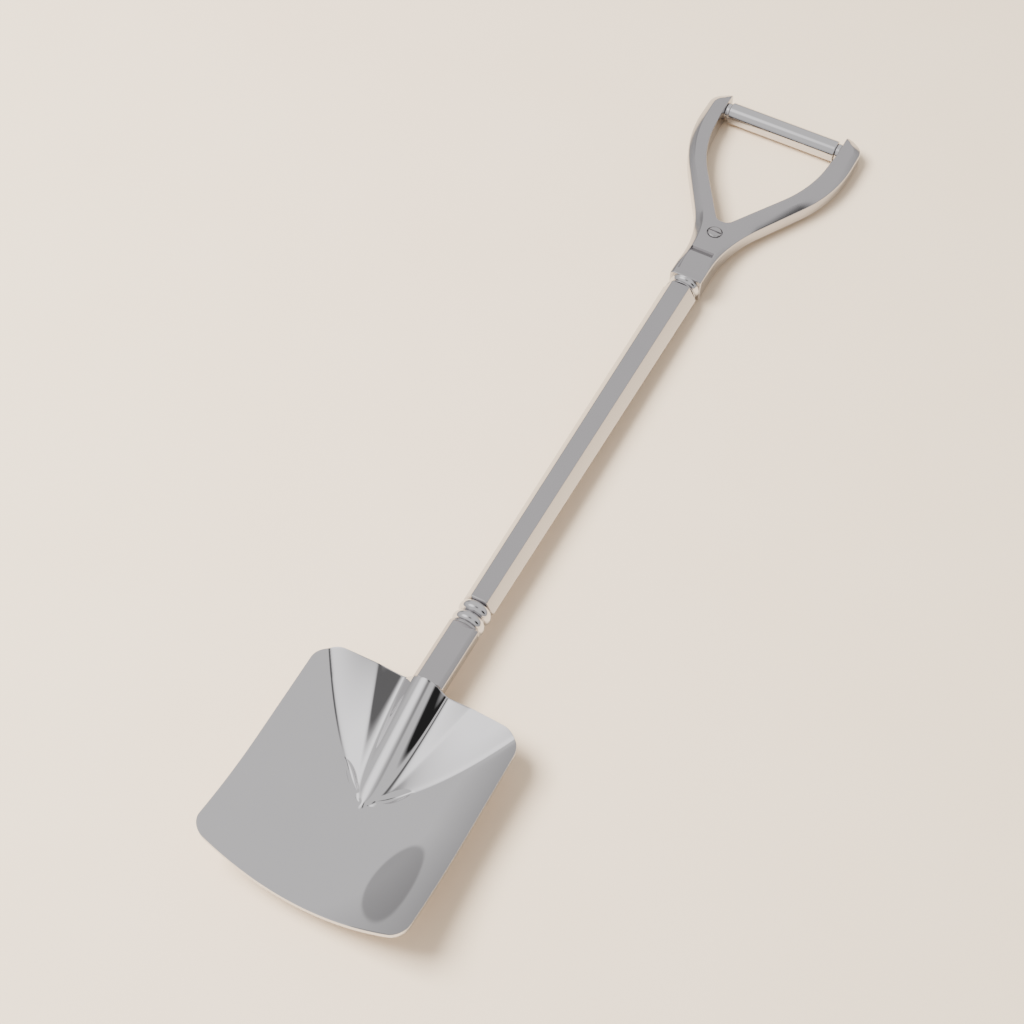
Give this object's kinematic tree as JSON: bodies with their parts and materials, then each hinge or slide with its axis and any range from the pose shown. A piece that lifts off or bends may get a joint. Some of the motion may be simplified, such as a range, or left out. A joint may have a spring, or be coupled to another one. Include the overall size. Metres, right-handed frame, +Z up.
{
  "type": "miniature shovel",
  "caption": "One-hand miniature square-point shovel, all polished steel: dished pan with a raised frog, hexagonal shaft and D-shaped grip, lying pan up.",
  "frame": {"origin": "centre of the overall box, at the height of the surface the shovel lies on", "axes": "+X from the blade to the grip, +Y to the left, +Z up out of the pan"},
  "size_m": [0.1541, 0.0304, 0.0085],
  "materials": {
    "polished_steel": "mirror polished stainless steel",
    "satin_steel": "bright satin-polished stainless steel",
    "weld_steel": "dull tumbled weld metal"
  },
  "bodies": {
    "root": {"blade": "polished_steel", "neck": "satin_steel", "frog_welds": "weld_steel", "bead_ring_lower": "polished_steel", "bead_ring_upper": "polished_steel", "shaft": "satin_steel", "shaft_collar": "polished_steel", "yoke": "satin_steel", "yoke_rivet": "satin_steel", "grip_bar": "polished_steel", "bar_collar_left": "polished_steel", "bar_collar_right": "polished_steel"}
  },
  "joints": []
}
